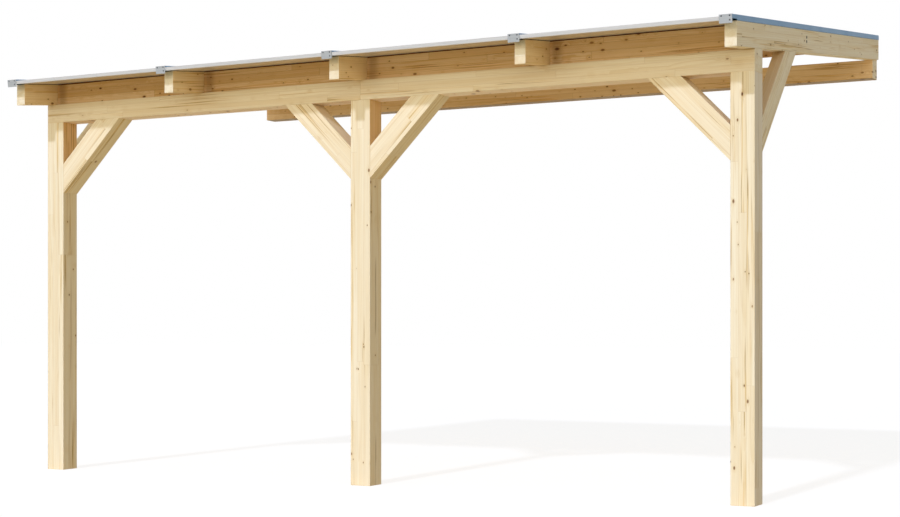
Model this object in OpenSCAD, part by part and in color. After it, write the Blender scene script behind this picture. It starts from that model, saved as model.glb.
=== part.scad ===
// Lean-to patio roof for a house wall.
// A glulam front of three posts and a purlin carries five sloping rafters,
// which rest on a ledger at the wall. Roof sheets lie on the rafters between
// aluminium glazing bars. The wall is the plane Y = 0 and the front faces -Y.

/* [Overall] */
// Width over the outer faces of the end posts
overall_width = 4160; // [3000:10:6000]
// Distance from the wall to the front face of the posts
post_line = 2270; // [1500:10:3500]
// Height from the ground to the underside of the purlin
post_height = 1968; // [1800:1:2600]
// Slope of the roof, which falls away from the wall, in degrees
roof_pitch = 6.65; // [3:0.05:15]
// Clearance in the seats that follow the slope, and behind the end caps
seat_clearance = 0.02; // [0.01:0.01:0.5]

/* [Posts and purlin] */
// Side of the square section of the posts, the purlin and the front braces
post_side = 115; // [90:1:150]
// Gap in the butt joint of the two purlin lengths, over the middle post
purlin_joint_gap = 0.5; // [0.2:0.1:3]

/* [Rafters] */
// Width of the rafters and of the rear braces
rafter_width = 57; // [42:1:90]
// Depth of the rafters and the rear braces, square to their length
rafter_depth = 113; // [90:1:180]
// How far the rafters run past the front face of the purlin
rafter_overhang = 250; // [100:1:500]

/* [Braces] */
// Distance from the inner corner of post and purlin to a front brace
front_brace_leg = 238; // [120:1:400]
// Distance from the rafter down the post to a rear brace
rear_brace_drop = 311; // [150:1:450]
// Angle of the rear braces from the horizontal, in degrees
rear_brace_angle = 45; // [40:0.5:55]

/* [Blocking] */
// Thickness of the blocking that closes the gaps between the rafters
blocking_thickness = 57; // [28:1:70]
// Distance of the blocking behind the front face of the purlin
blocking_setback = 18; // [0:1:40]
// How far the top of the blocking stays below the top of the rafters
blocking_top_gap = 3; // [0:0.5:10]
// Height of the shallow blocking between the rafters at the wall
rear_blocking_height = 48; // [20:1:75]
// Thickness of the blocking at the wall
rear_blocking_thickness = 45; // [28:1:70]

/* [Wall ledger] */
// Thickness of the ledger, out from the wall
ledger_thickness = 98; // [45:1:120]
// Height of the ledger's face against the wall
ledger_height = 115; // [90:1:200]
// How far each end of the ledger stops short of the outer rafter face
ledger_inset = 10; // [0:1:40]

/* [Rafter seals] */
// Thickness of the rubber strips between the rafters and the roof sheets
seal_thickness = 1.5; // [1:0.5:4]

/* [Roof sheets] */
// Thickness of the roof sheets
sheet_thickness = 16; // [10:1:25]
// How far the side edge of a sheet lies on the rafter
sheet_bearing = 5.5; // [3:0.5:12]
// How far the sheets run past the front ends of the rafters
sheet_overhang = 67; // [30:1:150]

/* [Front edge trim] */
// Wall of the channel that closes the front edge of a sheet
trim_wall = 1; // [1:0.1:3]
// Depth of the channel over the sheet
trim_depth = 22; // [15:1:28]
// Gap between an end of the channel and the glazing bar
trim_end_gap = 1; // [0.5:0.1:3]

/* [Glazing bars] */
// How far a glazing bar laps over the edge of a sheet
bar_lap = 7; // [4:0.5:15]
// Height of the top of a glazing bar above the sheets
bar_rise = 8.5; // [8:0.5:20]
// Wall of the glazing bars
bar_wall = 2.5; // [1.5:0.1:4]
// Width of the foot that stands on the rafter's seal between two sheets
bar_foot = 14; // [8:1:26]
// Bevel along the top edges of the glazing bars
bar_bevel = 1.5; // [0.5:0.1:2.5]
// Height of the cut under the side of an outer bar, ahead of the rafter
bar_nose_cut = 6; // [3:1:12]

/* [End caps] */
// Thickness of the plate that closes the front end of a glazing bar
cap_thickness = 3; // [1.5:0.5:6]
// How far the plate hangs below the sheets
cap_drop = 15; // [5:1:25]

/* [Hidden] */
// Number of spaces between rafters
bay_count = 4;
tp = tan(roof_pitch);
front_y = -post_line;
post_rear_y = front_y + post_side;
half_width = overall_width / 2;
rafter_step = (overall_width - rafter_width) / bay_count;
// A level purlin whose top is planed to the slope keeps its full height at the rear
purlin_front_height = post_side - post_side * tp;
rafter_plumb = rafter_depth / cos(roof_pitch);
ledger_middle_z = seat(0) - ledger_height / 2;
sheet_rear_s = post_line / cos(roof_pitch);
sheet_front_s = -(rafter_overhang + sheet_overhang) / cos(roof_pitch);
sheet_length = sheet_rear_s - sheet_front_s;
// Heights over the rafters, square to the slope
sheet_bottom = seal_thickness + seat_clearance;
sheet_top = sheet_bottom + sheet_thickness;
bar_top = sheet_top + bar_rise;
bar_half = rafter_width / 2 - sheet_bearing + bar_lap;
// Overcut that carries a cutting shape clear of the surface it opens
over = 1;

wood = [0.90, 0.80, 0.63];
shaded_wood = [0.80, 0.68, 0.48];
seal_black = [0.12, 0.12, 0.12];
sheet_grey = [0.86, 0.87, 0.86];
trim_grey = [0.80, 0.80, 0.79];
bar_blue = [0.46, 0.59, 0.73];
cap_grey = [0.73, 0.75, 0.77];

// Height of the rafters' underside above the ground, at a distance y from the wall
function rafter_under(y) = post_height + purlin_front_height + (y - front_y) * tp;

// Height of the rafters' top above the ground
function rafter_top(y) = rafter_under(y) + rafter_plumb;

// Height of the seat that carries the rafters above the ground
function seat(y) = rafter_under(y) - seat_clearance;

// Left face of rafter n, counted from the left
function rafter_x(n) = -half_width + (n - 1) * rafter_step;

// Centre line of rafter n
function rafter_mid(n) = rafter_x(n) + rafter_width / 2;

// Sides of the blocking between rafters n and n + 1
function block_left(n) = rafter_x(n) + rafter_width + seat_clearance;
function block_right(n) = rafter_x(n + 1) - seat_clearance;

// Left edge of sheet n, on rafter n
function sheet_left(n) = rafter_x(n) + rafter_width - sheet_bearing;

// Right edge of sheet n, on rafter n + 1
function sheet_right(n) = rafter_x(n + 1) + sheet_bearing;

// Sides of glazing bar n, which lies along the middle of its rafter
function bar_left(n) = rafter_mid(n) - bar_half;
function bar_right(n) = rafter_mid(n) + bar_half;

// Sets ground heights into the part's frame, whose origin is the middle of the
// ledger's face against the wall
module from_ground() {
  translate([0, 0, -ledger_middle_z]) children();
}

// A board with a side view in Y and Z, sawn to a width along X
module side_cut(x, width, outline) {
  from_ground()
    translate([x, 0, 0])
      rotate([90, 0, 90])
        linear_extrude(height = width)
          polygon(outline);
}

// Lies on the rafters: X across, Y up the slope from the purlin's front face,
// Z square to the slope from the rafters' top
module on_rafters() {
  from_ground()
    translate([0, front_y, rafter_top(front_y) + seat_clearance])
      rotate([roof_pitch, 0, 0])
        children();
}

// A bar with a section in X and Z, running the whole length of the slope
module up_slope(outline) {
  on_rafters()
    translate([0, sheet_rear_s, 0])
      rotate([90, 0, 0])
        linear_extrude(height = sheet_length)
          polygon(outline);
}

module post(left) {
  color(wood)
    from_ground()
      translate([left, front_y, 0])
        cube([post_side, post_side, post_height]);
}

module purlin(left, length) {
  color(wood)
    side_cut(left, length, [
      [front_y, post_height],
      [post_rear_y, post_height],
      [post_rear_y, seat(post_rear_y)],
      [front_y, seat(front_y)]
    ]);
}

// Stands in the corner of a post and the purlin, at 45 degrees
// face: the post's face, side: 1 to the right of the post, -1 to the left
module front_brace(face, side) {
  outer_leg = front_brace_leg + post_side / cos(45);
  color(wood)
    from_ground()
      translate([face, post_rear_y, post_height])
        rotate([90, 0, 0])
          linear_extrude(height = post_side)
            polygon([
              [0, -front_brace_leg],
              [side * front_brace_leg, 0],
              [side * outer_leg, 0],
              [0, -outer_leg]
            ]);
}

// Runs from the rear of an end post up to the rafter above it
module rear_brace(left) {
  closing = tan(rear_brace_angle) - tp;
  upper_reach = rear_brace_drop / closing;
  lower_drop = rear_brace_drop + rafter_depth / cos(rear_brace_angle);
  lower_reach = lower_drop / closing;
  top_z = seat(post_rear_y);
  color(shaded_wood)
    side_cut(left, rafter_width, [
      [post_rear_y, top_z - rear_brace_drop],
      [post_rear_y, top_z - lower_drop],
      [post_rear_y + lower_reach, seat(post_rear_y + lower_reach)],
      [post_rear_y + upper_reach, seat(post_rear_y + upper_reach)]
    ]);
}

// Both ends are cut plumb; the rear end meets the wall
module rafter(n) {
  nose_y = front_y - rafter_overhang;
  color(wood)
    side_cut(rafter_x(n), rafter_width, [
      [nose_y, rafter_under(nose_y)],
      [0, rafter_under(0)],
      [0, rafter_top(0)],
      [nose_y, rafter_top(nose_y)]
    ]);
}

// Fills the space between rafters n and n + 1 over the purlin, all but a slit at the top
module blocking(n) {
  near_y = front_y + blocking_setback;
  far_y = near_y + blocking_thickness;
  color(shaded_wood)
    side_cut(block_left(n), block_right(n) - block_left(n), [
      [near_y, rafter_under(near_y)],
      [far_y, rafter_under(far_y)],
      [far_y, rafter_top(far_y) - blocking_top_gap],
      [near_y, rafter_top(near_y) - blocking_top_gap]
    ]);
}

// Four shallow blocks against the wall, one in each space between the rafters.
// They leave the space between themselves and the ledger open.
module rear_blocking() {
  near_y = -rear_blocking_thickness;
  bottom_gap = blocking_top_gap + rear_blocking_height;
  color(shaded_wood)
    for (n = [1 : bay_count])
      side_cut(block_left(n), block_right(n) - block_left(n), [
        [near_y, rafter_top(near_y) - bottom_gap],
        [0, rafter_top(0) - bottom_gap],
        [0, rafter_top(0) - blocking_top_gap],
        [near_y, rafter_top(near_y) - blocking_top_gap]
      ]);
}

module wall_ledger() {
  bottom = seat(0) - ledger_height;
  color(shaded_wood)
    side_cut(-half_width + ledger_inset, overall_width - 2 * ledger_inset, [
      [-ledger_thickness, bottom],
      [0, bottom],
      [0, seat(0)],
      [-ledger_thickness, seat(-ledger_thickness)]
    ]);
}

// Strip along the top of rafter n, inside the outer side of an outer glazing bar
module rafter_seal(n) {
  left = max(rafter_x(n), bar_left(1) + bar_wall);
  right = min(rafter_x(n) + rafter_width, bar_right(bay_count + 1) - bar_wall);
  front_s = -rafter_overhang / cos(roof_pitch);
  color(seal_black)
    on_rafters()
      translate([left, front_s, 0])
        cube([right - left, sheet_rear_s - front_s, seal_thickness]);
}

// Lies on the seals of rafters n and n + 1
module roof_sheet(n) {
  color(sheet_grey)
    on_rafters()
      translate([sheet_left(n), sheet_front_s, sheet_bottom])
        cube([sheet_right(n) - sheet_left(n), sheet_length, sheet_thickness]);
}

// Channel pushed over the front edge of sheet n, between two glazing bars
module edge_trim(n) {
  left = bar_right(n) + trim_end_gap;
  right = bar_left(n + 1) - trim_end_gap;
  front = sheet_front_s - trim_wall;
  color(trim_grey)
    on_rafters()
      translate([left, 0, 0])
        rotate([90, 0, 90])
          linear_extrude(height = right - left)
            polygon([
              [front, sheet_bottom - trim_wall],
              [front + trim_depth, sheet_bottom - trim_wall],
              [front + trim_depth, sheet_bottom],
              [sheet_front_s, sheet_bottom],
              [sheet_front_s, sheet_top],
              [front + trim_depth, sheet_top],
              [front + trim_depth, sheet_top + trim_wall],
              [front, sheet_top + trim_wall]
            ]);
}

// Cover on a central foot, with a lip down to the sheet on each side
module inner_bar(n) {
  left = bar_left(n);
  right = bar_right(n);
  foot_left = rafter_mid(n) - bar_foot / 2;
  foot_right = rafter_mid(n) + bar_foot / 2;
  inside = bar_top - bar_wall;
  color(bar_blue)
    up_slope([
      [left, sheet_top],
      [left + bar_wall, sheet_top],
      [left + bar_wall, inside],
      [foot_left, inside],
      [foot_left, sheet_bottom],
      [foot_right, sheet_bottom],
      [foot_right, inside],
      [right - bar_wall, inside],
      [right - bar_wall, sheet_top],
      [right, sheet_top],
      [right, bar_top - bar_bevel],
      [right - bar_bevel, bar_top],
      [left + bar_bevel, bar_top],
      [left, bar_top - bar_bevel]
    ]);
}

// As an inner bar, but its outer side runs down to the rafter
// side: 1 at the right end of the roof, -1 at the left
module outer_bar(n, side) {
  outer = rafter_mid(n) + side * bar_half;
  lip = rafter_mid(n) - side * bar_half;
  foot_out = rafter_mid(n) + side * bar_foot / 2;
  foot_in = rafter_mid(n) - side * bar_foot / 2;
  inside = bar_top - bar_wall;
  nose_length = sheet_overhang / cos(roof_pitch);
  color(bar_blue)
    difference() {
      up_slope([
        [outer, 0],
        [outer - side * bar_wall, 0],
        [outer - side * bar_wall, inside],
        [foot_out, inside],
        [foot_out, sheet_bottom],
        [foot_in, sheet_bottom],
        [foot_in, inside],
        [lip + side * bar_wall, inside],
        [lip + side * bar_wall, sheet_top],
        [lip, sheet_top],
        [lip, bar_top - bar_bevel],
        [lip + side * bar_bevel, bar_top],
        [outer - side * bar_bevel, bar_top],
        [outer, bar_top - bar_bevel]
      ]);
      on_rafters()
        translate([outer - bar_wall - over, sheet_front_s - over, -over])
          cube([2 * (bar_wall + over), nose_length + over, bar_nose_cut + over]);
    }
}

// Plate across the front end of glazing bar n
module end_cap(n) {
  color(cap_grey)
    on_rafters()
      translate([bar_left(n), sheet_front_s - seat_clearance - cap_thickness, sheet_bottom - cap_drop])
        cube([2 * bar_half, cap_thickness, cap_drop - sheet_bottom + bar_top]);
}

module post_left() { post(-half_width); }
module post_middle() { post(-post_side / 2); }
module post_right() { post(half_width - post_side); }

module purlin_left() { purlin(-half_width, half_width - purlin_joint_gap / 2); }
module purlin_right() { purlin(purlin_joint_gap / 2, half_width - purlin_joint_gap / 2); }

module front_brace_1() { front_brace(-half_width + post_side, 1); }
module front_brace_2() { front_brace(-post_side / 2, -1); }
module front_brace_3() { front_brace(post_side / 2, 1); }
module front_brace_4() { front_brace(half_width - post_side, -1); }

module rear_brace_left() { rear_brace(-half_width); }
module rear_brace_right() { rear_brace(half_width - rafter_width); }

post_left();
post_middle();
post_right();
purlin_left();
purlin_right();
front_brace_1();
front_brace_2();
front_brace_3();
front_brace_4();
rear_brace_left();
rear_brace_right();
rafter(1);  // rafter_1
rafter(2);  // rafter_2
rafter(3);  // rafter_3
rafter(4);  // rafter_4
rafter(5);  // rafter_5
blocking(1);  // blocking_1
blocking(2);  // blocking_2
blocking(3);  // blocking_3
blocking(4);  // blocking_4
rear_blocking();
wall_ledger();
rafter_seal(1);  // rafter_seal_1
rafter_seal(2);  // rafter_seal_2
rafter_seal(3);  // rafter_seal_3
rafter_seal(4);  // rafter_seal_4
rafter_seal(5);  // rafter_seal_5
roof_sheet(1);  // roof_sheet_1
roof_sheet(2);  // roof_sheet_2
roof_sheet(3);  // roof_sheet_3
roof_sheet(4);  // roof_sheet_4
edge_trim(1);  // edge_trim_1
edge_trim(2);  // edge_trim_2
edge_trim(3);  // edge_trim_3
edge_trim(4);  // edge_trim_4
outer_bar(1, -1);  // glazing_bar_1
inner_bar(2);  // glazing_bar_2
inner_bar(3);  // glazing_bar_3
inner_bar(4);  // glazing_bar_4
outer_bar(5, 1);  // glazing_bar_5
end_cap(1);  // end_cap_1
end_cap(2);  // end_cap_2
end_cap(3);  // end_cap_3
end_cap(4);  // end_cap_4
end_cap(5);  // end_cap_5
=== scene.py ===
"""Looks of the lean-to patio roof: spruce glulam timbers, opal roof sheets, aluminium bars."""

import math
import random
from types import SimpleNamespace
from typing import NamedTuple

import bmesh
import bpy
from mathutils import Matrix, Vector


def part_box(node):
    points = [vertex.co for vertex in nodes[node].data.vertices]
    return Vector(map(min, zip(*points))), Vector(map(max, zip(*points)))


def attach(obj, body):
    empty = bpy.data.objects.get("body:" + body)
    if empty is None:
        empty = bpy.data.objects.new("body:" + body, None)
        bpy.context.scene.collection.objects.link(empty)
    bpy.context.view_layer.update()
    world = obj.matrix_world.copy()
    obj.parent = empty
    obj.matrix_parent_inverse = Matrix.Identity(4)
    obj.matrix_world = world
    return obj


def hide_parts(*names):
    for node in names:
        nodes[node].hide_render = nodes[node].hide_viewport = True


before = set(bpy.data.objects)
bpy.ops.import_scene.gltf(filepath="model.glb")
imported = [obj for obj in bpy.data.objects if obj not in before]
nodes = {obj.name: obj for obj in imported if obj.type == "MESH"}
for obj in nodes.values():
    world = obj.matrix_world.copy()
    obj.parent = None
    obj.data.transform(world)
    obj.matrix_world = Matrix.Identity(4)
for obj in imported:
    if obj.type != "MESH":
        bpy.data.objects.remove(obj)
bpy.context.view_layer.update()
ground = min(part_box(name)[0].z for name in ("post_left", "post_middle", "post_right"))
bays = sum(name.startswith("roof_sheet_") for name in nodes)

# ---------------------------------------------------------------- camera

CAMERA_PLACE = (4.417, -9.526, ground + 0.822)
CAMERA_TURN = 28.24  # degrees to the left of straight at the wall
CAMERA_LENS = 66.5  # millimetres
CAMERA_SENSOR = 36  # millimetres
CAMERA_RISE = 0.0734  # shift that keeps the posts upright
CAMERA_REACH = 200  # metres


def make_camera():
    data = bpy.data.cameras.new("camera")
    data.lens = CAMERA_LENS
    data.sensor_width = CAMERA_SENSOR
    data.shift_y = CAMERA_RISE
    data.clip_end = CAMERA_REACH
    camera = bpy.data.objects.new("camera", data)
    camera.location = CAMERA_PLACE
    camera.rotation_euler = (math.radians(90), 0, math.radians(CAMERA_TURN))
    bpy.context.scene.collection.objects.link(camera)
    bpy.context.scene.camera = camera


# ---------------------------------------------------------------- node trees


class Tree:
    """A node tree in the making. Most methods add one node and return its output."""

    def __init__(self, tree):
        self.tree = tree
        tree.nodes.clear()

    def put(self, socket, value):
        """Links an input to an output, or sets it to a plain value."""
        if isinstance(value, bpy.types.NodeSocket):
            self.tree.links.new(value, socket)
        else:
            socket.default_value = value

    def node(self, kind, settings=None, **inputs):
        """Adds a node and fills its inputs by name, with _ for a space in the name."""
        node = self.tree.nodes.new(kind)
        for name, value in (settings or {}).items():
            setattr(node, name, value)
        for name, value in inputs.items():
            self.put(node.inputs[name.replace("_", " ")], value)
        return node

    def add(self, kind, output=0, settings=None, **inputs):
        return self.node(kind, settings, **inputs).outputs[output]

    def ordered(self, kind, values, **settings):
        """Adds a node and fills its inputs in their order."""
        node = self.node(kind, settings)
        for socket, value in zip(node.inputs, values):
            self.put(socket, value)
        return node

    def math(self, operation, *values, clamp=False):
        node = self.ordered("ShaderNodeMath", values, operation=operation, use_clamp=clamp)
        return node.outputs[0]

    def times(self, product, *factors):
        for factor in factors:
            product = self.math("MULTIPLY", product, factor)
        return product

    def plus(self, total, *parts):
        for part in parts:
            total = self.math("ADD", total, part)
        return total

    def minus(self, a, b):
        return self.math("SUBTRACT", a, b)

    def scaled(self, value, factor, offset, clamp=False):
        return self.math("MULTIPLY_ADD", value, factor, offset, clamp=clamp)

    def centred(self, value, spread):
        """Turns a value from 0 to 1 into one of that spread, with its middle at 0."""
        return self.times(self.minus(value, 0.5), spread)

    def vector(self, operation, *values):
        node = self.ordered("ShaderNodeVectorMath", values, operation=operation)
        return node.outputs["Value" if operation == "DOT_PRODUCT" else "Vector"]

    def join(self, x, y, z):
        return self.add("ShaderNodeCombineXYZ", X=x, Y=y, Z=z)

    def split(self, vector):
        return self.node("ShaderNodeSeparateXYZ", Vector=vector).outputs

    def object_place(self):
        return self.add("ShaderNodeTexCoord", "Object")

    def normal(self):
        return self.add("ShaderNodeNewGeometry", "Normal")

    def noise(self, vector, detail=2.0, roughness=0.5, scale=1.0):
        return self.add(
            "ShaderNodeTexNoise", Vector=vector, Scale=scale, Detail=detail, Roughness=roughness
        )

    def chance(self, output, vector):
        """A random number ("Value") or colour ("Color") for each place."""
        return self.add("ShaderNodeTexWhiteNoise", output, Vector=vector)

    def step(self, value, low, high, to_low=0.0, to_high=1.0):
        """Goes smoothly from to_low to to_high while value goes from low to high."""
        return self.add(
            "ShaderNodeMapRange", settings={"interpolation_type": "SMOOTHSTEP"}, Value=value,
            From_Min=low, From_Max=high, To_Min=to_low, To_Max=to_high,
        )

    def mix(self, factor, a, b, blend="MIX"):
        """Mixes two colours, which have inputs 6 and 7 and output 2 on a Mix node."""
        settings = {"data_type": "RGBA", "blend_type": blend, "clamp_factor": True}
        node = self.node("ShaderNodeMix", settings)
        for place, value in ((0, factor), (6, a), (7, b)):
            self.put(node.inputs[place], value)
        return node.outputs[2]


def rgb(red, green, blue):
    return (red, green, blue, 1.0)


def new_material(name):
    material = bpy.data.materials.new(name)
    material.use_nodes = True
    return material, Tree(material.node_tree)


def finish_material(t, base, roughness, height, bump, depth, **constants):
    """Ends a tree in a Principled shader, with a bump of that strength and depth."""
    shader = t.add(
        "ShaderNodeBsdfPrincipled", Base_Color=base, Roughness=roughness,
        Normal=t.add("ShaderNodeBump", Strength=bump, Distance=depth, Height=height),
        **constants,
    )
    t.node("ShaderNodeOutputMaterial", Surface=shader)


# ---------------------------------------------------------------- spruce glulam

# Pairs are (from, to) for a step, or (factor, offset) for a random number that is scaled.
# Lengths are in metres.
FINGER_PITCH = 0.0062
FINGER_LENGTH = 0.010
GLUE_LINE = 0.0009
BOARD_SHARES = (0.6, 0.7)  # of the timber's usual length of board
BOARD_STAGGER = 7.0  # boards, at most, between two layers' first joints
LAYER_DRAW = 3.7  # sets the layers' random numbers apart from the boards'
BOARD_DRAW = (9.1, 4.3, 1.7)  # sets a board's colour draw apart from its tone
BOARD_SPREAD = (31.0, 17.0, 23.0)  # how far apart boards lie in the noise

KNOT_CELLS = 30.0  # knots to a metre each way inside the wood, most of them hidden
KNOT_SQUEEZE = (0.55, 1.0, 0.6)  # under 1 makes the knots longer that way
KNOT_SPREAD = (0.37, 0.61, 0.23)  # how far apart timbers lie in the knots
KNOT_RADII = (0.0040, 0.0027)
KNOT_RARITY = 4.0  # power that makes large knots rare
KNOT_FEW = (0.35, 0.65)  # knots are smaller where few show
KNOT_RIM = (1.35, 0.90)  # radii
KNOT_CORE = (0.85, 0.45)  # radii
KNOT_REACH = -0.16  # how soon the bent grain round a knot runs straight again

HEART_ACROSS = 0.16  # spread of the heart's place, across the layers
HEART_INWARD = 0.26  # and along them
RING_WAVES = 0.022  # spread of the rings' long bends
RING_RIPPLES = 0.0026  # and of their short ones
RING_TAPER = 0.016  # spread of how fast they drift off along the grain
RING_BULGE = 0.006  # how far a knot pushes them
RING_WIDTHS = (0.0022, 0.0026)
LATE_RISE, LATE_FALL = (0.25, 0.88), (1.0, 0.93)  # parts of a ring
LATE_STRENGTHS = (0.8, 0.35)

HEART_WANDER = 0.06
HEART_WIDTH = (0.0085, 0.0015)

# Noise in the wood: its scale along the grain and across it, an offset that sets it apart,
# its detail and its roughness
PATTERNS = {
    "waves": (1.4, 6.0, 0.0, 2.0, 0.5),
    "ripples": (9.0, 40.0, 0.0, 2.0, 0.5),
    "bands": (0.9, 38.0, 5.0, 3.0, 0.6),
    "lines": (1.8, 190.0, 11.0, 2.0, 0.6),
    "fibres": (9.0, 900.0, 3.0, 2.0, 0.6),
    "streak homes": (1.1, 17.0, 21.0, 1.0, 0.5),
    "streaks": (2.2, 150.0, 27.0, 2.0, 0.55),
    "dark lines": (3.2, 240.0, 33.0, 1.0, 0.5),
    "heart wander": (1.3, 0.0, 41.0, 2.0, 0.5),
    "heart breaks": (2.6, 0.0, 47.0, 2.0, 0.5),
}

WOOD = {
    "pale band": rgb(0.940, 0.825, 0.635),
    "dark band": rgb(0.870, 0.715, 0.485),
    "dark board": rgb(0.76, 0.58, 0.34),
    "light board": rgb(0.95, 0.86, 0.69),
    "late wood": rgb(0.73, 0.53, 0.27),
    "line": rgb(0.74, 0.55, 0.27),
    "fibre": rgb(0.60, 0.43, 0.24),
    "streak home": rgb(0.88, 0.68, 0.36),
    "streak": rgb(0.72, 0.48, 0.18),
    "dark line": rgb(0.36, 0.21, 0.075),
    "heart line": rgb(0.38, 0.23, 0.09),
    "round a knot": rgb(0.66, 0.45, 0.19),
    "knot rim": rgb(0.34, 0.17, 0.07),
    "knot core": rgb(0.08, 0.035, 0.015),
    "seam": rgb(0.42, 0.24, 0.10),
}


def lay_boards(t, given, wood):
    """The glued layers, and the boards that are finger-jointed end to end in each layer."""
    wood.layers = t.math("DIVIDE", t.plus(wood.across, given["Shift"]), given["Layer"])
    wood.layer = t.math("FLOOR", wood.layers)
    layer_draw = t.chance("Color", t.join(wood.layer, given["Seed"], LAYER_DRAW))
    start, length, _ = t.split(layer_draw)
    fingers = t.math("PINGPONG", wood.inward, FINGER_PITCH / 2)
    fingered = t.scaled(fingers, 2 * FINGER_LENGTH / FINGER_PITCH, wood.along)
    wood.board_length = t.times(given["Board"], t.scaled(length, *BOARD_SHARES))
    wood.boards = t.plus(
        t.math("DIVIDE", fingered, wood.board_length), t.times(start, BOARD_STAGGER)
    )
    wood.board = t.math("FLOOR", wood.boards)
    spot = t.join(wood.layer, wood.board, given["Seed"])
    wood.tone = t.chance("Value", spot)
    wood.draw = t.chance("Color", t.vector("ADD", spot, BOARD_DRAW))


def board_noise(t, wood):
    """A function that gives the named patterns. Each board has its own piece of the noise."""
    shift = t.vector("MULTIPLY", wood.draw, BOARD_SPREAD)

    def pattern(name):
        length_scale, cross_scale, offset, detail, roughness = PATTERNS[name]
        scaled = t.vector("MULTIPLY", wood.place, (length_scale, cross_scale, cross_scale))
        place = t.vector("ADD", t.vector("ADD", scaled, shift), (offset, offset, offset))
        return t.noise(place, detail, roughness)

    return pattern


def grow_knots(t, given, wood):
    """Small knots, longer along the grain."""
    seed = given["Seed"]
    knots = t.node(
        "ShaderNodeTexVoronoi", Scale=KNOT_CELLS,
        Vector=t.vector(
            "ADD",
            t.vector("MULTIPLY", wood.place, KNOT_SQUEEZE),
            t.vector("MULTIPLY", t.join(seed, seed, seed), KNOT_SPREAD),
        ),
    ).outputs
    size_draw, wood.knot_darkness, shown_draw = t.split(knots["Color"])
    kept = t.math("LESS_THAN", shown_draw, given["Knots"])
    radius = t.scaled(t.math("POWER", size_draw, KNOT_RARITY), *KNOT_RADII)
    few = t.math("MINIMUM", t.times(given["Knots"], 2.0), 1.0)
    radius = t.times(radius, t.scaled(few, *KNOT_FEW))
    out = t.math("DIVIDE", t.math("DIVIDE", knots["Distance"], KNOT_CELLS), radius)
    wood.knot_rim = t.times(t.step(out, *KNOT_RIM), kept)
    wood.knot_core = t.times(t.step(out, *KNOT_CORE), kept)
    wood.knot_bulge = t.times(t.math("EXPONENT", t.times(out, out, KNOT_REACH)), kept)


def grow_rings(t, given, wood, pattern):
    """Growth rings round a heart that lies outside or inside the board."""
    across_draw, inward_draw, width_draw = t.split(wood.draw)
    middle = t.minus(t.times(t.plus(wood.layer, 0.5), given["Layer"]), given["Shift"])
    across = t.minus(t.minus(wood.across, middle), t.centred(across_draw, HEART_ACROSS))
    inward = t.minus(wood.inward, t.centred(inward_draw, HEART_INWARD))
    squares = t.plus(t.math("POWER", across, 2.0), t.math("POWER", inward, 2.0))
    radius = t.math("POWER", squares, 0.5)
    taper = t.times(wood.along, t.centred(width_draw, RING_TAPER))
    bent = t.plus(
        t.plus(radius, t.centred(pattern("waves"), RING_WAVES)),
        t.plus(t.centred(pattern("ripples"), RING_RIPPLES), taper),
    )
    bent = t.scaled(wood.knot_bulge, RING_BULGE, bent)
    rings = t.math("DIVIDE", bent, t.scaled(width_draw, *RING_WIDTHS))
    part = t.math("FRACT", rings)
    strength = t.chance("Value", t.join(t.math("FLOOR", rings), wood.layer, wood.board))
    late = t.times(t.step(part, *LATE_RISE), t.step(part, *LATE_FALL))
    wood.late = t.times(late, t.scaled(strength, *LATE_STRENGTHS))


def draw_heart_line(t, given, wood, pattern):
    """A dark, broken line where a face cuts the heart of the tree."""
    wander = t.centred(pattern("heart wander"), HEART_WANDER)
    line = t.step(t.math("ABSOLUTE", t.minus(wood.inward, wander)), *HEART_WIDTH)
    line = t.times(line, t.step(pattern("heart breaks"), 0.46, 0.58))
    line = t.times(line, t.step(wood.lines, 0.38, 0.56, 0.35, 1.0))
    wood.heart_line = t.times(line, given["Heart"])


def draw_seams(t, given, wood):
    """Glue lines between the layers, and weaker ones at the finger joints."""

    def to_edge(part, length):
        return t.times(t.math("MINIMUM", part, t.minus(1.0, part)), length)

    glue = t.step(to_edge(t.math("FRACT", wood.layers), given["Layer"]), GLUE_LINE, 0.0)
    end = to_edge(t.math("FRACT", wood.boards), wood.board_length)
    joint = t.step(end, 2 * GLUE_LINE, 0.0)
    wood.seams = t.math("MAXIMUM", glue, t.times(joint, 0.6))


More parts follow.
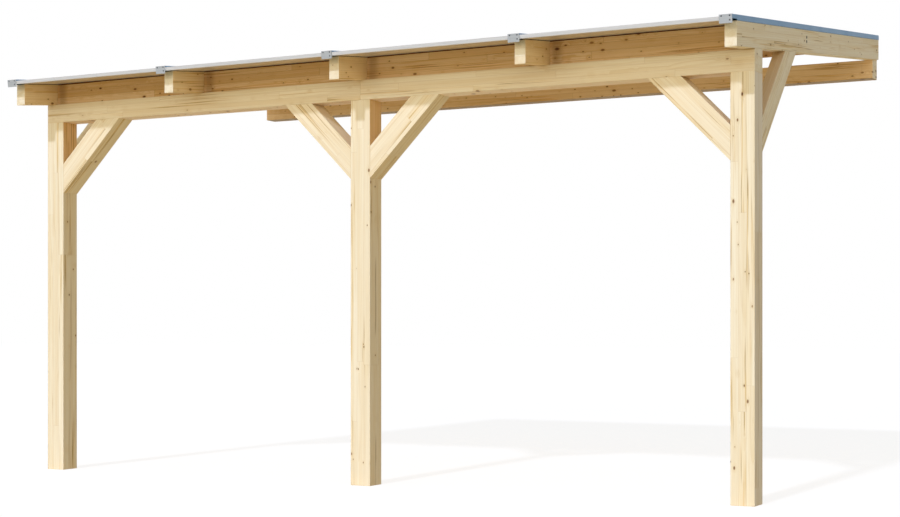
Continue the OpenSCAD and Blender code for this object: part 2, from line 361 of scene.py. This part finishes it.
def wood_colour(t, given, wood, pattern):
    """The colour of the wood: one coat over the other, each with the share that it covers."""
    figure = given["Figure"]
    lengthwise = t.scaled(given["End"], -0.9, 1.0)  # fades what runs along the grain
    streak_homes = t.times(t.step(pattern("streak homes"), 0.52, 0.64), lengthwise)
    streaks = t.times(streak_homes, t.step(pattern("streaks"), 0.50, 0.60))
    dark_lines = t.times(streaks, t.step(pattern("dark lines"), 0.48, 0.60))
    contrast = t.scaled(figure, 0.42, -0.22, clamp=True)  # between boards
    lines = t.times(t.step(wood.lines, 0.42, 0.80), lengthwise)
    coats = (
        (t.times(t.step(wood.tone, 0.45, 1.0), contrast), "dark board"),
        (t.times(t.step(wood.tone, 0.5, 0.0), contrast), "light board"),
        (t.times(figure, 0.30, wood.late), "late wood"),
        (t.times(figure, 0.34, lines), "line"),
        (t.step(wood.fibres, 0.35, 0.75, 0.0, 0.12), "fibre"),
        (t.times(streak_homes, 0.14), "streak home"),
        (t.times(streaks, 0.66), "streak"),
        (t.times(dark_lines, 0.72), "dark line"),
        (t.times(wood.heart_line, 0.80), "heart line"),
        (t.times(wood.knot_bulge, 0.32), "round a knot"),
        (t.times(wood.knot_rim, 0.80), "knot rim"),
        (t.times(wood.knot_core, t.scaled(wood.knot_darkness, 0.5, 0.5)), "knot core"),
        (t.times(wood.seams, t.scaled(figure, 0.5, -0.15)), "seam"),
    )
    colour = t.mix(t.step(pattern("bands"), 0.30, 0.75), WOOD["pale band"], WOOD["dark band"])
    for share, name in coats:
        colour = t.mix(share, colour, WOOD[name])
    return t.mix(1.0, colour, given["Tint_with_painted_light"], "MULTIPLY")


def make_spruce_group():
    """Solid wood in metres: X along the grain, Y across the glued layers, Z along them."""
    group = bpy.data.node_groups.new("spruce_glulam", "ShaderNodeTree")
    sockets = {
        "INPUT": {
            "Vector": ("Place",),
            "Float": ("Seed", "Layer", "Shift", "Board", "Figure", "End", "Heart", "Knots"),
            "Color": ("Tint_with_painted_light",),
        },
        "OUTPUT": {"Color": ("Colour",), "Float": ("Roughness", "Height")},
    }
    for side, kinds in sockets.items():
        for kind, names in kinds.items():
            for name in names:
                group.interface.new_socket(name, in_out=side, socket_type="NodeSocket" + kind)
    t = Tree(group)
    given = t.node("NodeGroupInput").outputs
    along, across, inward = t.split(given["Place"])
    wood = SimpleNamespace(place=given["Place"], along=along, across=across, inward=inward)
    lay_boards(t, given, wood)
    pattern = board_noise(t, wood)
    wood.lines, wood.fibres = pattern("lines"), pattern("fibres")
    grow_knots(t, given, wood)
    grow_rings(t, given, wood, pattern)
    draw_heart_line(t, given, wood, pattern)
    draw_seams(t, given, wood)
    relief = t.plus(t.times(wood.late, 0.5), t.times(wood.fibres, 0.5))
    hollow = t.times(t.math("MAXIMUM", wood.knot_core, wood.seams), 0.8)
    t.node(
        "NodeGroupOutput",
        Colour=wood_colour(t, given, wood, pattern),
        Roughness=t.scaled(wood.late, -0.10, t.scaled(wood.fibres, 0.15, 0.52)),
        Height=t.minus(relief, hollow),
    )
    return group


# ---------------------------------------------------------------- the timbers


class Timber(NamedTuple):
    flat: str  # the axis that its flat sides face
    layer: float  # thickness of its glued layers
    figure: float  # how strong its figure is
    knots: float  # share of its knots that show
    tint_and_painted_light: tuple  # over the pale spruce


PALE = rgb(1.0, 1.0, 1.0)
TIMBERS = {
    "post": Timber("Y", 0.0383, 0.9, 0.16, PALE),
    "purlin": Timber("Y", 0.0383, 1.1, 0.6, rgb(0.96, 0.94, 0.92)),
    "front_brace": Timber("Y", 0.0383, 0.8, 0.12, rgb(1.0, 0.98, 0.95)),
    # A lighter tint than the wood: painted light on the left rear brace, which lies in shade.
    "rear_brace_left": Timber("X", 0.0377, 1.0, 0.3, rgb(1.20, 1.16, 1.05)),
    "rear_brace": Timber("X", 0.0377, 1.0, 0.3, PALE),
    "rafter_5": Timber("X", 0.0377, 1.1, 0.4, PALE),
    # The next four tints are warmer, and deeper in green and blue: painted shade on the rafters
    # under the roof, the blocking, the rear blocking and the wall ledger.
    "rafter": Timber("X", 0.0377, 1.2, 0.9, rgb(1.0, 0.88, 0.70)),
    "blocking": Timber("Y", 0.0377, 2.3, 0.9, rgb(0.93, 0.75, 0.56)),
    "rear_blocking": Timber("Y", 0.08, 1.2, 0.9, rgb(0.86, 0.66, 0.50)),
    "wall_ledger": Timber("Y", 0.0383, 1.4, 1.0, rgb(1.08, 0.91, 0.76)),
}
DRAWS = {"post": "log of "}  # the posts' own random draw
SEEDS = (0, 50)  # range of the number that sets one timber's grain apart from another's
LAYER_SHIFTS = (-0.2, 0.2)  # of a layer
BOARD_LENGTHS = (0.9, 1.3)  # range of a timber's usual length of board
AXES = {"X": Vector((1, 0, 0)), "Y": Vector((0, 1, 0))}

# On the posts' sides: the strength of the heart lines, and the knots that show beyond the
# timber's own share
SIDE_HEARTS = {"post_left": 0.4, "post_middle": 1.0, "post_right": 0.4}
SIDE_KNOTS = {"post_left": 0.25, "post_middle": 0.25, "post_right": 0.0}

SQUARE_ON = (0.75, 0.90)  # part of its normal from which a face looks that way
# Painted shade: a deeper, warmer tint on the inner sides of the posts close under the purlin,
# where the braces and the purlin shade them.
POST_TOP_PAINTED_SHADE = rgb(0.94, 0.75, 0.52)  # inner sides of the posts, close under the purlin
POST_SHADE_START, POST_SHADE_FULL = 0.34, 0.28  # below the top of a post
# Painted light: a lighter, cooler tint on the outer side of the right post, for the sky light
# that falls on it.
OUTER_SIDE_PAINTED_LIGHT = rgb(1.10, 1.15, 1.28)  # outer side of the right post
# Painted light: a lighter tint on the purlins' undersides.
PURLIN_UNDERSIDE_PAINTED_LIGHT = rgb(1.17, 1.10, 1.13)
# Painted shade: the wall ledger's underside is darkened toward this colour, by this share.
LEDGER_UNDERSIDE_PAINTED_SHADE = rgb(0.10, 0.07, 0.05)
LEDGER_UNDERSIDE_SHADE_SHARE = 0.55
# Painted shade: the blocking is darkened in its corners at the rafters, where shade falls.
CORNER_PAINTED_SHADE = rgb(0.42, 0.28, 0.18)  # on the blocking, in the corners at the rafters
CORNER_START, CORNER_FULL = 0.0, 0.028
CORNER_FADE, CORNER_STOP = 0.040, 0.086
CORNER_SHARE = 0.5
# Painted shade: a deeper tint on the right rear brace's narrow faces, behind the post, where
# shade falls.
BRACE_EDGE_PAINTED_SHADE = rgb(0.86, 0.76, 0.67)  # edges of the right rear brace
EDGE_ON = (0.50, 0.25)  # sideways part of its normal below which a face is an edge


def kind_of(name):
    return next(kind for kind in TIMBERS if name.startswith(kind))


def face_areas(mesh):
    """The total area of the faces that look each way, with the way rounded to thousandths."""
    areas = {}
    for face in mesh.polygons:
        way = tuple(round(x, 3) for x in face.normal)
        areas[way] = areas.get(way, 0) + face.area
    return areas


def grain_frame(name, axis):
    """Turns the row frame into a timber's own: along the grain, across the layers, along them."""
    inward = AXES[axis]
    areas = face_areas(nodes[name].data)
    edges = {way: area for way, area in areas.items() if abs(Vector(way).dot(inward)) < 0.5}
    widest = Vector(max(edges, key=edges.get))
    along = widest.cross(inward).normalized()
    across = inward.cross(along)
    return Matrix((along, across, inward))


def post_looks(t, name, tint_and_painted_light, knots, wood):
    """A post's knots and heart lines on its sides, and its tint there, with painted shade on the
    inner sides close under the purlin and painted light on the right post's outer side.
    """
    sideways, _, _ = t.split(t.normal())
    side = t.step(t.math("ABSOLUTE", sideways), *SQUARE_ON)
    t.put(wood.inputs["Heart"], t.times(side, SIDE_HEARTS[name]))
    t.put(wood.inputs["Knots"], t.scaled(side, SIDE_KNOTS[name], knots))
    inner = side
    if name != "post_middle":
        inner = t.step(t.times(sideways, 1.0 if name == "post_left" else -1.0), *SQUARE_ON)
    _, _, height = t.split(t.object_place())
    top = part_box(name)[1].z
    near_top = t.step(height, top - POST_SHADE_START, top - POST_SHADE_FULL)
    # Painted shade on the inner sides near the top.
    tint_and_painted_light = t.mix(t.times(inner, near_top), tint_and_painted_light, POST_TOP_PAINTED_SHADE)
    if name == "post_right":
        # Painted light on the right post's outer side.
        tint_and_painted_light = t.mix(t.step(sideways, *SQUARE_ON), tint_and_painted_light, OUTER_SIDE_PAINTED_LIGHT)
    return tint_and_painted_light


def local_painted_light(t, name, tint_and_painted_light):
    """The tint of a timber, with painted shade in the blocking's corners at the rafters, on the
    right rear brace's narrow faces and on the ledger's underside, and painted light on the
    purlins' undersides.
    """
    sideways, _, upward = t.split(t.normal())
    downward = t.times(upward, -1.0)
    if name.startswith("blocking"):
        # Painted shade in the blocking's corners at the rafters.
        low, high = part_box(name)
        x, _, _ = t.split(t.object_place())
        from_end = t.math("MINIMUM", t.minus(x, low.x), t.minus(high.x, x))
        rise = t.step(from_end, CORNER_START, CORNER_FULL)
        fall = t.step(from_end, CORNER_STOP, CORNER_FADE, 0.0, CORNER_SHARE)
        return t.mix(t.times(rise, fall), tint_and_painted_light, CORNER_PAINTED_SHADE)
    if name == "rear_brace_right":
        # Painted shade on the right rear brace's narrow faces.
        return t.mix(t.step(t.math("ABSOLUTE", sideways), *EDGE_ON), tint_and_painted_light, BRACE_EDGE_PAINTED_SHADE)
    if name == "wall_ledger":
        # Painted shade on the ledger's underside.
        under = t.step(downward, *SQUARE_ON, 0.0, LEDGER_UNDERSIDE_SHADE_SHARE)
        return t.mix(under, tint_and_painted_light, LEDGER_UNDERSIDE_PAINTED_SHADE)
    if name.startswith("purlin"):
        # Painted light on the purlin's underside.
        return t.mix(t.step(downward, *SQUARE_ON), tint_and_painted_light, PURLIN_UNDERSIDE_PAINTED_LIGHT)
    return tint_and_painted_light


def spruce(name):
    """The glulam material of one timber, with its own grain, layers and knots."""
    timber = TIMBERS[kind_of(name)]
    chance = random.Random(DRAWS.get(kind_of(name), "grain of ") + name)
    material, t = new_material("spruce_" + name)
    turn = grain_frame(name, timber.flat)
    low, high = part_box(name)
    place = t.add(
        "ShaderNodeMapping", settings={"vector_type": "POINT"}, Vector=t.object_place(),
        Location=-(turn @ ((low + high) / 2)), Rotation=turn.to_euler("XYZ"),
    )
    along = t.vector("DOT_PRODUCT", t.normal(), tuple(turn[0]))
    sawn_end = t.step(t.math("ABSOLUTE", along), *SQUARE_ON)
    wood = t.node(
        "ShaderNodeGroup", {"node_tree": spruce_group},
        Place=place,
        Seed=chance.uniform(*SEEDS),
        Layer=timber.layer,
        Shift=timber.layer / 2 + chance.uniform(*LAYER_SHIFTS) * timber.layer,
        Board=chance.uniform(*BOARD_LENGTHS),
        Figure=timber.figure,
        End=sawn_end,
        Knots=timber.knots,
    )
    # The timber's tint, which holds painted shade on the timbers under the roof and painted light
    # on the left rear brace; the sawn ends keep the pale wood.
    tint_and_painted_light = t.mix(sawn_end, timber.tint_and_painted_light, PALE)
    if name.startswith("post"):
        tint_and_painted_light = post_looks(t, name, tint_and_painted_light, timber.knots, wood)
    else:
        tint_and_painted_light = local_painted_light(t, name, tint_and_painted_light)
    t.put(wood.inputs["Tint_with_painted_light"], tint_and_painted_light)
    finish_material(
        t, wood.outputs["Colour"], wood.outputs["Roughness"], wood.outputs["Height"],
        bump=0.25, depth=0.0006, Specular_IOR_Level=0.1,
    )
    return material


# ---------------------------------------------------------------- other materials

WEB_STEP = 0.016  # between the webs of a roof sheet
WEB_SHADE = 0.0022  # half the width of the grey line that a web draws


def opal_plastic():
    """Opal plastic, a little greyer along the webs that run up the slope."""
    material, t = new_material("opal_plastic")
    x, y, z = t.split(t.object_place())
    web = t.step(t.math("PINGPONG", x, WEB_STEP / 2), WEB_SHADE, 0.0)
    cloud = t.noise(t.join(t.times(x, 6.0), y, z), 3.0, 0.6, scale=2.0)
    colour = t.mix(t.step(cloud, 0.3, 0.7), rgb(0.87, 0.83, 0.76), rgb(0.90, 0.86, 0.79))
    colour = t.mix(t.times(web, 0.45), colour, rgb(0.52, 0.51, 0.48))
    finish_material(
        t, colour, t.scaled(cloud, 0.06, 0.08), t.times(web, -1.0),
        bump=0.1, depth=0.0002, Specular_IOR_Level=0.5,
    )
    return material


def aluminium(name, light, dark, metallic, roughness, grain=(4.0, 4.0, 500.0), top=None):
    """Satin metal, with faint drawing lines; grain is the scale of the lines along X, Y and Z.
    Where top is given, the upward faces get that lighter colour as painted light.
    """
    material, t = new_material(name)
    place = t.object_place()
    lines = t.noise(t.vector("MULTIPLY", place, grain), 3.0, 0.6)
    lined = t.step(lines, 0.3, 0.7)
    blotch = t.noise(place, 3.0, 0.6, scale=6.0)
    colour = t.mix(lined, light, dark)
    colour = t.mix(t.step(blotch, 0.4, 0.7, 0.0, 0.25), colour, dark)
    if top:
        _, _, upward = t.split(t.normal())
        # Painted light: the upward faces get the lighter top colour.
        colour = t.mix(t.step(upward, 0.3, 0.9), colour, t.mix(lined, top, dark))
    finish_material(
        t, colour, t.scaled(blotch, 0.2, roughness - 0.1), lines,
        bump=0.1, depth=0.0002, Metallic=metallic,
    )
    return material


def rubber(name, dark, light, gloss):
    material, t = new_material(name)
    grit = t.noise(t.object_place(), 3.0, 0.6, scale=400.0)
    finish_material(
        t, t.mix(grit, dark, light), t.scaled(grit, 0.2, 0.6), grit,
        bump=0.3, depth=0.0003, Specular_IOR_Level=gloss,
    )
    return material


def dark_steel():
    material, t = new_material("dark_steel")
    worn = t.noise(t.object_place(), 3.0, 0.6, scale=600.0)
    colour = t.mix(worn, rgb(0.05, 0.05, 0.055), rgb(0.14, 0.14, 0.15))
    finish_material(
        t, colour, t.scaled(worn, 0.2, 0.35), worn, bump=0.1, depth=0.0002, Metallic=0.9
    )
    return material


# ---------------------------------------------------------------- shapes on the slope


def roof_pitch():
    """The slope's angle, from the underside of a rafter."""
    corners = [v.co for v in nodes["rafter_1"].data.vertices]
    front = min(corners, key=lambda c: (round(c.y, 3), c.z))
    rear = min(corners, key=lambda c: (-round(c.y, 3), c.z))
    return math.atan2(rear.z - front.z, rear.y - front.y)


pitch = roof_pitch()
to_slope = Matrix.Rotation(-pitch, 3, "X")
from_slope = Matrix.Rotation(pitch, 4, "X")


def slope_corners(name):
    """A node's vertices in the sloping frame: X across, Y up the slope, Z out of the roof."""
    return [to_slope @ v.co for v in nodes[name].data.vertices]


def slope_box(name):
    """The lowest and the highest corner of a node's box in the sloping frame."""
    spans = list(zip(*slope_corners(name)))
    return Vector([min(span) for span in spans]), Vector([max(span) for span in spans])


def add_box(mesh, low, high):
    """Adds a plain box to a bmesh, for parts of larger pieces."""
    size = Vector(high) - Vector(low)
    place = Matrix.Translation((Vector(high) + Vector(low)) / 2) @ Matrix.Diagonal((*size, 1))
    bmesh.ops.create_cube(mesh, size=1, matrix=place)


def slope_piece(name, mesh, material):
    """Makes an object from a bmesh that was built in the sloping frame."""
    data = bpy.data.meshes.new(name)
    mesh.transform(from_slope)
    mesh.to_mesh(data)
    mesh.free()
    data.materials.append(material)
    piece = bpy.data.objects.new(name, data)
    bpy.context.scene.collection.objects.link(piece)
    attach(piece, "root")
    return piece


WEB_WALL = 0.0008
WEB_SETBACK = 0.001  # behind the front edge of the skins
SKIN = 0.0012


def multiwall_sheet(number, material):
    """A hollow sheet in place of the solid one: three skins, and webs that run up the slope."""
    node = f"roof_sheet_{number}"
    low, high = slope_box(node)
    mesh = bmesh.new()
    middle = (low.z + high.z) / 2
    for bottom in (low.z, middle - SKIN / 2, high.z - SKIN):
        add_box(mesh, (low.x, low.y, bottom), (high.x, high.y, bottom + SKIN))
    count = round((high.x - low.x) / WEB_STEP)
    for k in range(count + 1):
        left = low.x + (high.x - low.x - WEB_WALL) * k / count
        add_box(
            mesh,
            (left, low.y + WEB_SETBACK, low.z + SKIN),
            (left + WEB_WALL, high.y, high.z - SKIN),
        )
    piece = slope_piece(f"multiwall_sheet_{number}", mesh, material)
    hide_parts(node)


STRIP_SETBACK = 0.007  # behind the front of the blocking
STRIP_DEPTH = 0.020
STRIP_CLEARANCE = 0.0001  # under the sheet
STRIP_FACETS = 8  # of its round front
SAME_HEIGHT = 0.0005  # corners that are closer in height than this are level


def slit_shade_strip(number, material):
    """A dark brown strip in the slit between the blocking and the sheet over it: a dark piece put
    there as painted shade, for the deep shade in the slit.
    """
    corners = slope_corners(f"blocking_{number}")
    bottom = max(c.z for c in corners)
    top = slope_box(f"roof_sheet_{number}")[0].z - STRIP_CLEARANCE
    front = min(c.y for c in corners if c.z > bottom - SAME_HEIGHT) + STRIP_SETBACK
    left, right = (pick(c.x for c in corners) for pick in (min, max))
    middle, reach = (bottom + top) / 2, (top - bottom) / 2
    profile = [(front + STRIP_DEPTH, top), (front + STRIP_DEPTH, bottom)]
    for k in range(STRIP_FACETS + 1):
        angle = math.pi * (k / STRIP_FACETS - 0.5)
        profile.append((front + reach * (1 - math.cos(angle)), middle + reach * math.sin(angle)))
    mesh = bmesh.new()
    ends = [[mesh.verts.new((x, y, z)) for y, z in profile] for x in (left, right)]
    mesh.faces.new(ends[0])
    mesh.faces.new(reversed(ends[1]))
    for k in range(len(profile)):
        after = (k + 1) % len(profile)
        mesh.faces.new((ends[0][k], ends[1][k], ends[1][after], ends[0][after]))
    bmesh.ops.recalc_face_normals(mesh, faces=mesh.faces)
    slope_piece(f"slit_shade_strip_{number}", mesh, material)


# ---------------------------------------------------------------- screws

SCREW_SIDES = 14
# Of a screw's head: shares of its radius and of its height, from its rim to its recess
SCREW_PROFILE = (
    (1.0, 0.0), (1.0, 0.35), (0.82, 0.8), (0.5, 1.0), (0.34, 1.0), (0.30, 0.45), (0.0, 0.45)
)


def add_screw(mesh, centre, way, radius, height):
    """A pan-head screw with a round recess: way is the direction that its head faces."""
    turn = Vector(way).to_track_quat("Z", "Y").to_matrix().to_4x4()
    place = Matrix.Translation(Vector(centre)) @ turn
    rings = []
    for share, up in SCREW_PROFILE:
        angles = [2 * math.pi * k / SCREW_SIDES for k in range(SCREW_SIDES if share else 1)]
        rings.append([
            mesh.verts.new(place @ Vector((
                radius * share * math.cos(angle), radius * share * math.sin(angle), height * up
            )))
            for angle in angles
        ])
    mesh.faces.new(reversed(rings[0]))
    for lower, upper in zip(rings, rings[1:]):
        for k in range(SCREW_SIDES):
            after = (k + 1) % SCREW_SIDES
            if len(upper) == 1:
                mesh.faces.new((lower[k], lower[after], upper[0]))
            else:
                mesh.faces.new((lower[k], lower[after], upper[after], upper[k]))


BAR_SCREW_STEP = 0.42
BAR_SCREW = (0.0052, 0.0035)  # radius and height of the head
WASHER_RADII = (0.0075, 0.0070)
WASHER_THICKNESS = 0.001
WASHER_SIDES = 20


def bar_screws(number, material):
    """Screws along the top of a glazing bar, each on a washer."""
    low, high = slope_box(f"glazing_bar_{number}")
    middle = (low.x + high.x) / 2
    length = high.y - low.y
    count = round(length / BAR_SCREW_STEP)
    mesh = bmesh.new()
    for k in range(count):
        at = low.y + length * (k + 0.5) / count
        bmesh.ops.create_cone(
            mesh, cap_ends=True, segments=WASHER_SIDES,
            radius1=WASHER_RADII[0], radius2=WASHER_RADII[1], depth=WASHER_THICKNESS,
            matrix=Matrix.Translation((middle, at, high.z + WASHER_THICKNESS / 2)),
        )
        add_screw(mesh, (middle, at, high.z + WASHER_THICKNESS), (0, 0, 1), *BAR_SCREW)
    slope_piece(f"bar_screws_{number}", mesh, material)


CAP_SCREW = (0.0036, 0.0014)
CAP_SCREW_INSET = 0.011  # from the cap's sides
CAP_SCREW_DROPS = (0.007, 0.026)  # below the cap's top


def cap_screws(number, material):
    """Three screws in the face of an end cap: two at the top and one lower on the right."""
    low, high = slope_box(f"end_cap_{number}")
    left, right = low.x + CAP_SCREW_INSET, high.x - CAP_SCREW_INSET
    upper, lower = (high.z - drop for drop in CAP_SCREW_DROPS)
    mesh = bmesh.new()
    for x, z in ((left, upper), (right, upper), (right, lower)):
        add_screw(mesh, (x, low.y, z), (0, -1, 0), *CAP_SCREW)
    slope_piece(f"cap_screws_{number}", mesh, material)


SIDE_SCREW = (0.0078, 0.0012)
SIDE_SCREW_REACH = 1.445  # out from the wall
SIDE_SCREW_DROPS = (0.036, 0.058)  # below the top of the rafter


def side_screws(number, side, material):
    """Two dark screws, one over the other, in the outer side of an outer rafter."""
    low, high = slope_box(f"rafter_{number}")
    mesh = bmesh.new()
    for drop in SIDE_SCREW_DROPS:
        y = high.y - SIDE_SCREW_REACH / math.cos(pitch) - drop * math.sin(pitch)
        place = (high.x if side > 0 else low.x, y, high.z - drop * math.cos(pitch))
        add_screw(mesh, place, (side, 0, 0), *SIDE_SCREW)
    slope_piece(f"side_screws_{number}", mesh, material)


# ---------------------------------------------------------------- dressing the CAD nodes

SAME_PLACE = 1e-5  # vertices that are closer than this become one
SHARP = math.radians(25)  # an edge that turns further than this is eased


def dress(name, material, ease, segments=2):
    """Gives a CAD node its material and eased edges."""
    node = nodes[name]
    node.data.materials.clear()
    node.data.materials.append(material)
    node.modifiers.new("weld", "WELD").merge_threshold = SAME_PLACE
    bevel = node.modifiers.new("eased_edges", "BEVEL")
    bevel.width = ease
    bevel.segments = segments
    bevel.limit_method = "ANGLE"
    bevel.angle_limit = SHARP
    node.modifiers.new("even_shading", "WEIGHTED_NORMAL")


# ---------------------------------------------------------------- light, floor and background

SUN = (1.12, 1.33, 1.82)
SUN_HEIGHT = 35.6  # degrees
SUN_SPREAD = 3.0  # degrees
SKY = (0.24, 0.28, 0.34)
GLOW = (2.68, 2.58, 2.15)  # wide soft light that stands low in front
GLOW_FOOT, GLOW_TOP = (0.0, 0.12), (0.46, 0.26)  # where it comes up and fades out, upward
GLOW_SIDES = (-0.2, -0.9)  # and from the sides to the front
EARTH = (0.92, 0.72, 0.38)  # the floor as the object's light meets it
FLOOR = (0.34, 0.30, 0.26)  # the floor as the camera sees it, lit and with the shadow
FLOOR_WHITE = (0.82, 0.82, 0.82)  # a glow that the camera sees on top of that
FLOOR_REACH = 45.0


def seen_directly(t):
    """1 on camera, mirror and glass rays, and 0 on the rays that carry soft light."""
    path = t.node("ShaderNodeLightPath").outputs
    seen = t.math("MAXIMUM", path["Is Camera Ray"], path["Is Glossy Ray"])
    return t.math("MAXIMUM", seen, path["Is Transmission Ray"])


def end_in(t, kind, lighting, shown):
    """Ends a tree in one shader for soft light and another for what is seen directly."""
    both = t.ordered("ShaderNodeMixShader", (seen_directly(t), lighting, shown))
    t.node(kind, Surface=both.outputs[0])


def make_world():
    world = bpy.data.worlds.new("studio")
    world.use_nodes = True
    bpy.context.scene.world = world
    t = Tree(world.node_tree)
    _, y, z = t.split(t.add("ShaderNodeTexCoord", "Generated"))
    low_down = t.times(t.step(z, *GLOW_FOOT), t.step(z, *GLOW_TOP))
    ahead = t.times(t.step(y, *GLOW_SIDES), low_down)
    brightest = rgb(*(sky + glow for sky, glow in zip(SKY, GLOW)))
    sky = t.add("ShaderNodeBackground", Color=t.mix(ahead, rgb(*SKY), brightest), Strength=1.0)
    white = t.add("ShaderNodeBackground", Color=rgb(1, 1, 1), Strength=1.0)
    end_in(t, "ShaderNodeOutputWorld", sky, white)


def make_sun():
    data = bpy.data.lights.new("sun", "SUN")
    data.energy = max(SUN)
    data.color = [part / max(SUN) for part in SUN]
    data.angle = math.radians(SUN_SPREAD)
    sun = bpy.data.objects.new("sun", data)
    sun.rotation_euler = (math.radians(90 - SUN_HEIGHT), 0, 0)
    bpy.context.scene.collection.objects.link(sun)


def make_floor():
    """A pale floor. The warm ground light comes from it, and it shows a faint shadow."""
    data = bpy.data.meshes.new("floor")
    signs = ((-1, -1), (1, -1), (1, 1), (-1, 1))
    corners = [(x * FLOOR_REACH, y * FLOOR_REACH, ground) for x, y in signs]
    data.from_pydata(corners, [], [(0, 1, 2, 3)])
    floor = bpy.data.objects.new("floor", data)
    bpy.context.scene.collection.objects.link(floor)
    material, t = new_material("floor")
    data.materials.append(material)
    earth = t.add("ShaderNodeBsdfDiffuse", Color=rgb(*EARTH))
    pale = t.add("ShaderNodeBsdfDiffuse", Color=rgb(*FLOOR))
    white = t.add("ShaderNodeEmission", Color=rgb(*FLOOR_WHITE), Strength=1.0)
    shown = t.ordered("ShaderNodeAddShader", (pale, white)).outputs[0]
    end_in(t, "ShaderNodeOutputMaterial", earth, shown)


# ---------------------------------------------------------------- the whole scene

# How far the edges are eased. A seal is thinner than its value, which Blender then cuts down.
TIMBER_EASE = 0.002
SEAL_EASE = 0.002
TRIM_EASE = 0.0003
BAR_EASE = 0.0004
CAP_EASE = 0.0005

bpy.context.scene.view_settings.view_transform = "Standard"
make_camera()
make_world()
make_sun()
make_floor()

spruce_group = make_spruce_group()
for node_name in sorted(nodes):
    if node_name.startswith(tuple(TIMBERS)) and not node_name.startswith("rafter_seal"):
        dress(node_name, spruce(node_name), TIMBER_EASE)

opal = opal_plastic()
trim_metal = aluminium("trim_aluminium", rgb(0.64, 0.62, 0.60), rgb(0.57, 0.55, 0.53), 0.3, 0.45)
bar_metal = aluminium(
    "bar_aluminium", rgb(0.11, 0.25, 0.43), rgb(0.08, 0.21, 0.38), 0.25, 0.42,
    # The top colour is painted light on the bars' upward faces.
    grain=(500.0, 4.0, 500.0), top=rgb(0.36, 0.42, 0.48),
)
cap_metal = aluminium("cap_aluminium", rgb(0.47, 0.48, 0.48), rgb(0.40, 0.41, 0.41), 0.5, 0.42)
screw_metal = dark_steel()
black_rubber = rubber("black_rubber", rgb(0.012, 0.011, 0.010), rgb(0.035, 0.033, 0.030), 0.2)
# The dark brown of the strip in the slit: painted shade.
slit_shade_brown = rubber("slit_shade_brown", rgb(0.15, 0.034, 0.002), rgb(0.21, 0.055, 0.004), 0.0)

for n in range(1, bays + 1):
    multiwall_sheet(n, opal)
    slit_shade_strip(n, slit_shade_brown)
    dress(f"edge_trim_{n}", trim_metal, TRIM_EASE, segments=1)
for n in range(1, bays + 2):
    dress(f"rafter_seal_{n}", black_rubber, SEAL_EASE)
    dress(f"glazing_bar_{n}", bar_metal, BAR_EASE, segments=1)
    dress(f"end_cap_{n}", cap_metal, CAP_EASE)
    bar_screws(n, screw_metal)
    cap_screws(n, screw_metal)
side_screws(1, -1, black_rubber)
side_screws(bays + 1, 1, black_rubber)
